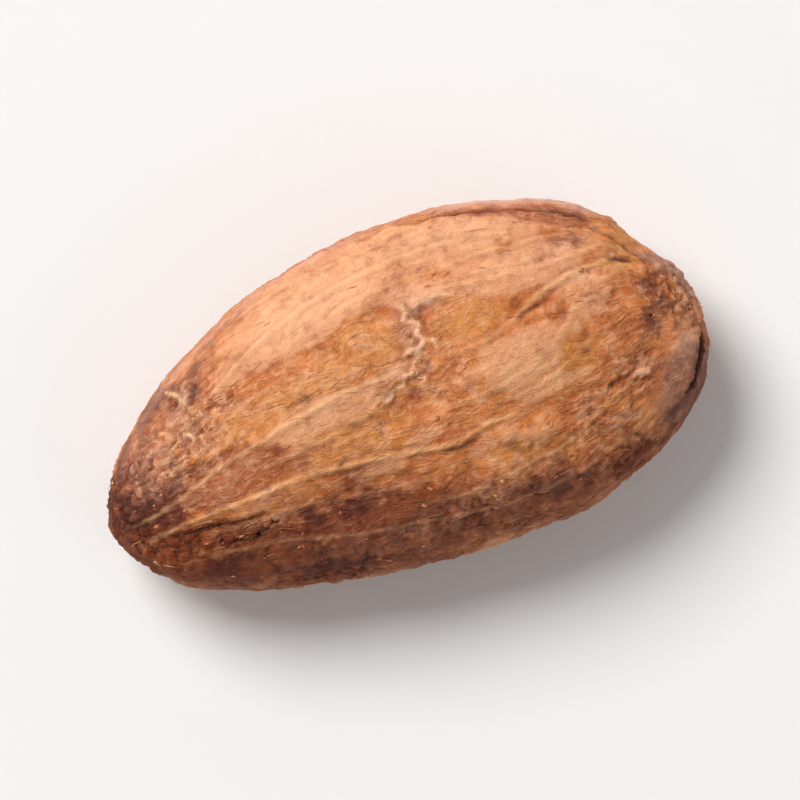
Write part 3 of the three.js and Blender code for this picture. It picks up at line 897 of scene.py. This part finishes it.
def skin_relief(form, surface, material):
    """The finished skin: the form with everything that stands out of it or is cut into it."""
    helpers = vein_paths(surface), crease_paths(surface), seam_path(surface), pit_points(surface)
    tree = GeometryTree("skin relief")
    kinds = zip(("Veins", "Creases", "Seam", "Pits"), helpers)
    veins, creases, seam, pits = [tree.input(name, "Object", helper) for name, helper in kinds]
    size = {name: tree.input(name, "Float", value) for name, value in RELIEF.items()}
    skin = tree.input("Skin", "Material", material)

    place_mm = millimetres(tree.field("GeometryNodeInputPosition"))
    grain = grain_place(ragged(place_mm, 0.6, 0.42))
    rough_place = ragged(place_mm, 0.3, 1.7)
    vein_far, vein_strength = distance_to(tree, veins, "EDGES", ragged(place_mm, 0.1, 1.6))
    crease_far, crease_strength = distance_to(tree, creases, "EDGES", ragged(place_mm, 0.2, 2.6))
    seam_far, seam_strength = distance_to(tree, seam, "EDGES", ragged(place_mm, 0.15, 1.2))
    pit_far, pit_strength = distance_to(tree, pits, "POINTS", ragged(place_mm, 0.5, 2.4))
    scar = scar_share(place_mm)

    # Veins thin out and stop here and there.
    vein_strength = vein_strength * (noise(place_mm, 0.9, 2) * 1.8 - 0.1).most(0.0)
    vein_line = vein_far.hump(size["Vein Width"])
    ridge = vein_strength * (vein_line * 1.3 - vein_far.hump(size["Vein Width"] * 2.6) * 0.4)
    crease_line = crease_far.hump(size["Crease Width"])
    fold = crease_strength * (crease_line - crease_far.hump(size["Crease Width"] * 2.8) * 0.3)
    seam_line = seam_far.hump(size["Seam Width"])
    cord = seam_strength * (seam_line - seam_far.hump(size["Seam Width"] * 2.2) * 0.35)
    pit = pit_strength * pit_far.hump(size["Pit Width"])
    film_cloud = noise(vector_sum("MULTIPLY", rough_place, (0.7, 1.2, 1.0)), 0.9, 4, 0.6) - 0.5
    film = (named(tree, "pale") + film_cloud * 1.6).rise(0.4, 0.52)
    lumps = noise(place_mm, 0.42, 2) - 0.5

    # What makes the skin rough: lengthwise wrinkles and fibres, grit, crosswise crinkles and scaly plates
    tip = split(place_mm)[0].math("ABSOLUTE").rise(9.0, 12.0)
    crinkled = named(tree, "crinkled")
    even = 1.0 - named(tree, "smooth").least(1.0) * 0.6
    along = (1.0 - tip * 0.75) * (1.0 - crinkled.least(1.0) * 0.55)
    wrinkles = (noise(grain, 0.85, 3, 0.55, 0.5) - 0.5) * along
    fibres = winding_lines(shifted(grain, 2, 6, 1), 1.2, 0.045) + winding_lines(grain, 2.4, 0.06) * 0.6
    grit = noise(vector_sum("MULTIPLY", rough_place, (1.0, 1.6, 1.6)), 1.5, 4, 0.68) - 0.5
    scar_bowl = scar.rise(1.25, 0.5) * (-0.5 + grit * 0.6) + scar_rim(scar) * 0.05
    across = vector_sum("MULTIPLY", ragged(place_mm, 0.5, 1.1), (2.2, 0.9, 0.9))
    crosswise = noise(across, 1.1, 3, 0.6) - 0.5
    plates = cell_edges(rough_place, 2.1).rise(0.0, 0.22) - 1.0
    crossing = winding_lines(ragged(place_mm, 0.4, 2.4), 1.3, 0.05, 1)
    threads = crossing.most(cell_edges(rough_place, 1.5).hump(0.12) * 0.8)
    threads = threads * named(tree, "frosted").least(1.0)
    roughness = (
        wrinkles * size["Wrinkle Height"]
        + fibres * along * size["Fibre Height"]
        + grit * (1.0 + tip) * size["Grit Height"]
        + crosswise * crinkled * size["Crinkle Height"]
        + plates * named(tree, "scaly") * size["Plate Height"]
    )
    height = (
        roughness * (1.0 - film * 0.6) * even
        - named(tree, "sunken") * size["Hollow Depth"]
        + ridge * size["Vein Height"]
        - fold * size["Crease Depth"]
        + cord * size["Seam Height"]
        - pit * size["Pit Depth"]
        + scar_bowl
        + film * size["Film Height"]
        + threads * size["Thread Height"]
        + lumps * size["Lump Height"]
    )

    geometry = store(tree, tree.given, "grain", grain, "FLOAT_VECTOR")
    marks = {
        "vein": vein_strength * vein_line,
        # A ring of painted shade in the groove beside each vein
        "beside_vein": vein_strength * (vein_far - 0.22).hump(0.09),
        "crease_far": crease_far,
        "crease_strength": crease_strength,
        "seam": seam_strength * seam_line,
        "pit": pit,
        "scar": scar,
        "film": film,
        "thread": threads,
        "tip": tip,
        # How far the skin stands up or lies deep, which the colour uses for painted highlight and painted
        # shade.
        "high": roughness * even / 0.1,
    }
    for name, value in marks.items():
        geometry = store(tree, geometry, name, value)
    offset = vector_sum("SCALE", tree.field("GeometryNodeInputNormal"), height * MM)
    raised = tree.moved(geometry, Offset=offset)
    x, y, z = split(tree.field("GeometryNodeInputPosition"))
    grounded = tree.moved(raised, Position=join(x, y, z.most(0.0)))
    tree.finish(tree.smooth(grounded), skin)
    made = tree.make("bean_skin", form)
    discard(*helpers)
    return made


# -------------------- materials


def srgb(red, green, blue):
    """A colour given as it looks on a screen, 0 to 255, as the linear numbers that shaders use."""
    def linear(value):
        share = value / 255
        return share / 12.92 if share <= 0.04045 else ((share + 0.055) / 1.055) ** 2.4

    return (linear(red), linear(green), linear(blue), 1.0)


BASE_TAN = srgb(210, 127, 64)
BROWN_TAN = srgb(186, 100, 47)
# Pale pulp colour, also used for the painted highlight on what stands up.
PALE_PULP_AND_HIGHLIGHT = srgb(238, 181, 141)
GOLD_PULP = srgb(208, 136, 66)
RED_SKIN = srgb(144, 62, 30)
PURPLE_SKIN = srgb(108, 54, 54)
DARK_SKIN = srgb(74, 30, 12)
GREY_BLOOM = srgb(158, 118, 106)
VEIN_CREAM = srgb(242, 188, 134)
FROST_PINK = srgb(243, 192, 163)
SEAM_PINK = srgb(220, 172, 156)
# Stains are the shares of red, green and blue light that they let back.
PURPLE_STAIN = (0.56, 0.43, 0.51, 1.0)
# The dark stain is partly painted shade on the lower flank.
DARK_STAIN_AND_SHADE = (0.37, 0.22, 0.14, 1.0)
# Near black, painted in creases and pits, partly as the shade in them.
CREASE_SHADE_BROWN = srgb(40, 18, 11)
FLAKE_TAN = srgb(220, 158, 110)
FLAKE_BROWN = srgb(170, 96, 52)
FLAKE_CREAM = srgb(240, 198, 160)


def blend(tree, factor, first, second, mode="MIX"):
    """A colour between two, or one laid on the other in that mode."""
    node = new_node(tree, "ShaderNodeMix", data_type="RGBA", blend_type=mode)
    sockets = {socket.identifier: socket for socket in node.inputs}
    for identifier, value in (("Factor_Float", factor), ("A_Color", first), ("B_Color", second)):
        plug(tree, sockets[identifier], value)
    return next(socket for socket in node.outputs if socket.type == "RGBA")


def layered(tree, colour, layers):
    """A colour under layers. Each layer is how far it covers, its colour and, if not MIX, its mode."""
    for cover, paint, *mode in layers:
        colour = blend(tree, cover, colour, paint, *mode)
    return colour


def attribute(tree, name, output="Fac"):
    node = new_node(tree, "ShaderNodeAttribute", attribute_name=name)
    return Field(tree, node.outputs[output])


def ragged_patch(patch, raggedness, low=0.25, high=0.75):
    """A kind of patch with a ragged, cloudy border."""
    return (patch + raggedness).rise(low, high)


def speckle_group():
    """Fine speckles, on the skin and on the dried pulp alike: dark ones, light ones and their height."""
    tree = bpy.data.node_groups.new("fine_speckle", "ShaderNodeTree")
    for name, kind in (("Place", "Vector"), ("Scale", "Float"), ("Spread", "Float")):
        tree.interface.new_socket(name=name, in_out="INPUT", socket_type="NodeSocket" + kind)
    for name in ("Dark", "Light", "Height"):
        tree.interface.new_socket(name=name, in_out="OUTPUT", socket_type="NodeSocketFloat")
    source = tree.nodes.new("NodeGroupInput")
    place, scale, spread = (Field(tree, socket) for socket in list(source.outputs)[:3])
    cloud = noise(place, scale, 3, 0.6)
    out = tree.nodes.new("NodeGroupOutput")
    plug(tree, out.inputs["Dark"], cloud.rise(0.68 - spread, 0.76))
    plug(tree, out.inputs["Light"], cloud.rise(spread + 0.3, 0.26))
    plug(tree, out.inputs["Height"], cloud)
    return tree


def speckles(group, place, scale, spread):
    """The group's dark mask, light mask and height. A wider spread gives more speckles."""
    node = new_node(place.tree, "ShaderNodeGroup", node_tree=group)
    for name, value in (("Place", place), ("Scale", scale), ("Spread", spread)):
        plug(place.tree, node.inputs[name], value)
    return [Field(place.tree, node.outputs[name]) for name in ("Dark", "Light", "Height")]


def grained(grain, grain_scale, place_mm, even_scale, tip, detail):
    """Cloudy noise drawn out along the grain. At the tips, where the grain closes up, it is even."""
    drawn_out = noise(grain, grain_scale, detail, 0.66)
    even = noise(place_mm, even_scale, detail, 0.66)
    return drawn_out * (1.0 - tip) + even * tip


def new_material(name):
    """A material, its tree, and the place on the bean in millimetres."""
    material = bpy.data.materials.new(name)
    material.use_nodes = True
    tree = material.node_tree
    place = Field(tree, new_node(tree, "ShaderNodeTexCoord").outputs["Object"])
    return material, tree, millimetres(place)


def set_shader(tree, colour, roughness, specular, height):
    """Sets the shader. The height, in metres, is a bump for what is finer than the mesh."""
    bump = new_node(tree, "ShaderNodeBump", {"Height": height, "Strength": 1.0, "Distance": 1.0})
    shader = tree.nodes["Principled BSDF"]
    plug(tree, shader.inputs["Base Color"], colour)
    plug(tree, shader.inputs["Roughness"], roughness)
    plug(tree, shader.inputs["Specular IOR Level"], specular)
    plug(tree, shader.inputs["Normal"], bump.outputs["Normal"])


def bean_skin_material(speckle):
    material, tree, place_mm = new_material("dried_bean_skin")
    grain = attribute(tree, "grain", "Vector")
    kinds = ("gold", "pale", "red", "purple", "dark", "grey", "scaly", "smooth", "frosted")
    cut = ("film", "high", "tip", "thread", "vein", "beside_vein", "crease_far", "crease_strength", "seam",
           "pit", "scar")
    marks = {name: attribute(tree, name) for name in kinds + cut}
    tip, high = marks["tip"], marks["high"]

    # Clouds, and the fine lines along the grain: light hairs and dark gaps
    broad = noise(place_mm, 0.5, 3, 0.55)
    blotch = (noise(shifted(place_mm, 4, 1, 9), 1.3, 5, 0.65) - 0.5) * 1.5
    mottle_place = vector_sum("MULTIPLY", shifted(grain, 1, 8, 2), (3.4, 1, 1))
    mottle = grained(mottle_place, 1.6, shifted(place_mm, 1, 8, 2), 1.5, tip, 5)
    streaks = grained(shifted(grain, 3, 3, 3), 4.2, shifted(place_mm, 3, 3, 3), 2.6, tip, 4)
    hairs = winding_lines(shifted(grain, 9, 5, 1), 4.0, 0.05, 3) * (1.0 - tip)
    gap_place = vector_sum("MULTIPLY", shifted(grain, 6, 2, 8), (1.7, 1, 1))
    gaps = winding_lines(gap_place, 2.3, 0.026, 3) * (1.0 - tip)
    dark_specks, light_specks, specks = speckles(speckle, shifted(place_mm, 2, 7, 3), 7.0, 0.08)
    flecks = noise(shifted(place_mm, 8, 2, 5), 2.6, 3, 0.55)

    # How far each kind of mark covers the skin
    cream = marks["film"] * (marks["pale"] * 0.32 + 0.24)
    bare = (1.0 - marks["film"] * 0.6) * (1.0 - marks["smooth"].least(1.0) * 0.7)
    flecked = 0.22 + marks["scaly"].least(1.0) * 0.38
    purple_stain = ragged_patch(marks["purple"], blotch * 1.4, 0.0, 1.1)
    dark_stain_and_shade = ragged_patch(marks["dark"], blotch * 1.4, -0.1, 1.1)
    # Frosted skin is painted pale on its crests, partly as a highlight.
    worn_and_highlit = (high + (flecks - 0.5) * 3.0).rise(0.5, 1.6) * marks["frosted"].least(1.0)
    frost_and_highlight_cover = marks["thread"] * 0.6 + worn_and_highlit * 0.5
    crease_far = marks["crease_far"] + (specks - 0.5) * 0.2
    crease = (marks["crease_strength"] * crease_far.hump(0.12)).least(1.0)
    scar = marks["scar"] + blotch * 0.2

    colour = layered(tree, BASE_TAN, [
        (broad.rise(0.35, 0.7), BROWN_TAN),
        (ragged_patch(marks["gold"], blotch) * 0.7, GOLD_PULP),
        (mottle.rise(0.5, 0.7) * 0.55, PALE_PULP_AND_HIGHLIGHT),
        (mottle.rise(0.48, 0.3) * 0.55, RED_SKIN),
        # The pulp film is cream; on the upper side it is also a painted highlight.
        (cream, PALE_PULP_AND_HIGHLIGHT),
        (ragged_patch(marks["red"], blotch) * 0.7, RED_SKIN),
        (ragged_patch(marks["purple"], blotch) * 0.45, PURPLE_SKIN),
        (ragged_patch(marks["grey"], blotch) * 0.65, GREY_BLOOM),
        # What stands up is painted paler as a highlight, and what lies deep is painted dark as the shade in
        # the hollows.
        (high.rise(0.15, 1.1) * 0.3, PALE_PULP_AND_HIGHLIGHT),
        (high.rise(-0.1, -1.3) * 0.55, DARK_SKIN),
        # The fine lengthwise grain is fainter on smooth skin and under a film of pulp.
        (streaks.rise(0.55, 0.68) * bare * 0.22, PALE_PULP_AND_HIGHLIGHT),
        (streaks.rise(0.44, 0.32) * bare * 0.26, RED_SKIN),
        (hairs * bare * 0.22, PALE_PULP_AND_HIGHLIGHT),
        (gaps * bare * 0.28, RED_SKIN),
        (dark_specks * 0.45, DARK_SKIN),
        (light_specks * 0.4, PALE_PULP_AND_HIGHLIGHT),
        # The skin is lightly flecked all over, and heavily where it is scaly.
        (flecks.rise(0.45, 0.34) * flecked * 0.9, RED_SKIN),
        (flecks.rise(0.53, 0.63) * flecked, PALE_PULP_AND_HIGHLIGHT),
        # Stains lie over all of that, and the dark stain is partly painted shade, laid thickest on the
        # lower flank. Frosted skin is pale on its threads and on all that stands up, which is partly a
        # painted highlight.
        (purple_stain * 0.8, PURPLE_STAIN, "MULTIPLY"),
        (dark_stain_and_shade, DARK_STAIN_AND_SHADE, "MULTIPLY"),
        (frost_and_highlight_cover.least(0.6), FROST_PINK),
        # Veins are pale threads with a line of painted shade in the groove beside them, and creases and
        # pits are painted near black, partly as the shade that lies in them.
        (marks["vein"].least(1.0) * 0.5, VEIN_CREAM),
        (marks["vein"].rise(0.6, 1.4) * 0.75, FROST_PINK),
        (marks["beside_vein"].least(1.0) * 0.35, RED_SKIN),
        (crease * 0.8, CREASE_SHADE_BROWN),
        (marks["pit"].rise(0.15, 0.7) * 0.85, CREASE_SHADE_BROWN),
        # The seam is a dusty pink cord, and the scar's floor is dark and dry.
        (marks["seam"].least(1.0) * 0.8, SEAM_PINK),
        (scar.rise(0.95, 0.5) * 0.55, DARK_SKIN),
        (scar_rim(scar) * 0.25, SEAM_PINK),
    ])

    dullness = 0.56 + (streaks - 0.5) * 0.5 + (broad - 0.5) * 0.4 + (mottle - 0.5) * 0.3 + crease * 0.2
    cells = cell_edges(shifted(place_mm, 5, 5, 5), 4.5).rise(0.0, 0.3) * marks["scaly"] * 0.02
    lines = streaks * 0.045 + hairs * 0.02 - gaps * 0.02
    fine = lines * (0.4 + bare * 0.6) + specks * 0.045 + flecks * 0.05 + cells
    set_shader(tree, colour, dullness.most(0.34).least(0.95), specular=0.22, height=fine * MM)
    return material


def dry_pulp_material(speckle):
    """Dried fruit pulp: matt and pale, and browner where it is thin."""
    material, tree, place_mm = new_material("dry_pulp")
    broad = noise(place_mm, 1.2, 3, 0.6)
    dark_specks, light_specks, specks = speckles(speckle, shifted(place_mm, 3, 1, 4), 9.0, 0.16)
    colour = layered(tree, FLAKE_TAN, [
        (broad.rise(0.35, 0.65), FLAKE_BROWN),
        (dark_specks * 0.5, BROWN_TAN),
        (light_specks * 0.4, FLAKE_CREAM),
    ])
    dullness = (0.6 + (broad - 0.5) * 0.5).most(0.4)
    set_shader(tree, colour, dullness, specular=0.3, height=specks * (0.03 * MM))
    return material


# -------------------- loose bits on the skin


def random_number(tree, low, high, seed):
    inputs = {2: low, 3: high, "Seed": seed}
    return tree.field("FunctionNodeRandomValue", 1, inputs, data_type="FLOAT")


def scatter(tree, density, seed, bit, scale, aside):
    """Lays bits on the skin. Each lies flat and points along the bean, turned aside by up to that share."""
    spread = {"Mesh": tree.given, "Density": density, "Seed": seed}
    points = tree.node("GeometryNodeDistributePointsOnFaces", spread, distribute_method="RANDOM")
    lean = random_number(tree, -1.0, 1.0, seed + 1)
    along = join(1.0, lean * aside, lean * (aside * 0.3))
    axes = {"Primary Axis": points.outputs["Normal"], "Secondary Axis": along}
    facing = tree.field("FunctionNodeAxesToRotation", 0, axes, primary_axis="Z", secondary_axis="X")
    laid = {"Points": points.outputs["Points"], "Instance": bit, "Rotation": facing, "Scale": scale}
    return tree.field("GeometryNodeInstanceOnPoints", 0, laid)


def off_the_ground(tree):
    """0 where the skin lies on the ground or almost does, and 1 above that."""
    height = split(tree.field("GeometryNodeInputPosition"))[2]
    return (height / MM).rise(0.25, 0.6)


def push_about(tree, geometry, reach_mm, scale):
    """Makes bits real and moves every point a little, so that equal bits come out different."""
    place_mm = millimetres(tree.field("GeometryNodeInputPosition"))
    target = vector_sum("SCALE", ragged(place_mm, reach_mm, scale), MM)
    return tree.smooth(tree.moved(tree.real(geometry), Position=target))


def pulp_flakes(skin, material):
    """Small dry scales of pulp stuck to the skin, most of them where it is scaly or crinkled."""
    tree = GeometryTree("pulp flakes")
    per_metre = tree.input("Flakes Per Square Metre", "Float", 5.0e5)
    length = tree.input("Flake Length", "Float", 0.12 * MM)
    seed = tree.input("Seed", "Int", 5)
    pulp = tree.input("Pulp", "Material", material)
    where = (0.12 + named(tree, "scaly") * 1.3 + named(tree, "crinkled") * 0.7) * off_the_ground(tree)
    bit = tree.field("GeometryNodeMeshIcoSphere", 0, {"Radius": 1.0, "Subdivisions": 1})
    size = random_number(tree, 0.4, 1.1, 31) * length
    flat = join(size * random_number(tree, 0.8, 1.6, 37), size * 0.75, size * 0.1)
    flakes = scatter(tree, per_metre * where, seed, bit, flat, 1.2)
    tree.finish(push_about(tree, flakes, 0.13, 7.0), pulp)
    return tree.make("pulp_flakes", skin)


def skin_fibres(skin, material):
    """Thin threads that have come loose from the skin and lie along it."""
    tree = GeometryTree("skin fibres")
    per_metre = tree.input("Fibres Per Square Metre", "Float", 4.5e5)
    length = tree.input("Fibre Length", "Float", 0.8 * MM)
    thickness = tree.input("Fibre Radius", "Float", 0.02 * MM)
    seed = tree.input("Seed", "Int", 9)
    pulp = tree.input("Pulp", "Material", material)
    ends = {"Start": join(length * -0.5, 0.0, 0.0), "End": join(length * 0.5, 0.0, 0.0)}
    line = tree.field("GeometryNodeCurvePrimitiveLine", 0, ends)
    line = tree.field("GeometryNodeResampleCurve", 0, {"Curve": line, "Count": 7})
    share = tree.field("GeometryNodeSplineParameter", "Factor")
    hump = (share * (1.0 - share)) * 4.0
    bent = join(0.0, (share * 5.0).math("SINE") * (0.03 * MM), (hump - 1.0) * (0.035 * MM))
    ring = tree.field("GeometryNodeCurvePrimitiveCircle", 0, {"Resolution": 4, "Radius": thickness})
    tube = {"Curve": tree.moved(line, Offset=bent), "Profile Curve": ring, "Fill Caps": True}
    thread = tree.field("GeometryNodeCurveToMesh", 0, {**tube, "Scale": 0.3 + hump * 0.7})
    stretch = random_number(tree, 0.35, 1.4, 41)
    size = join(stretch, stretch * 0.4 + 0.7, 0.7)
    where = (1.0 - named(tree, "scaly") * 0.6) * off_the_ground(tree)
    fibres = scatter(tree, per_metre * where, seed, thread, size, 0.25)
    tree.finish(push_about(tree, fibres, 0.05, 1.3), pulp)
    return tree.make("skin_fibres", skin)


# -------------------- the object


def cacao_bean():
    form = bean_form(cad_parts[BEAN_NODE])
    surface = Surface(form)
    mark_patches(form)
    speckle = speckle_group()
    skin = skin_relief(form, surface, bean_skin_material(speckle))
    discard(form)
    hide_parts(BEAN_NODE)
    pulp = dry_pulp_material(speckle)
    for piece in (skin, pulp_flakes(skin, pulp), skin_fibres(skin, pulp)):
        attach(piece, "root")


place_camera()
light_scene()
pale_floor()
cacao_bean()
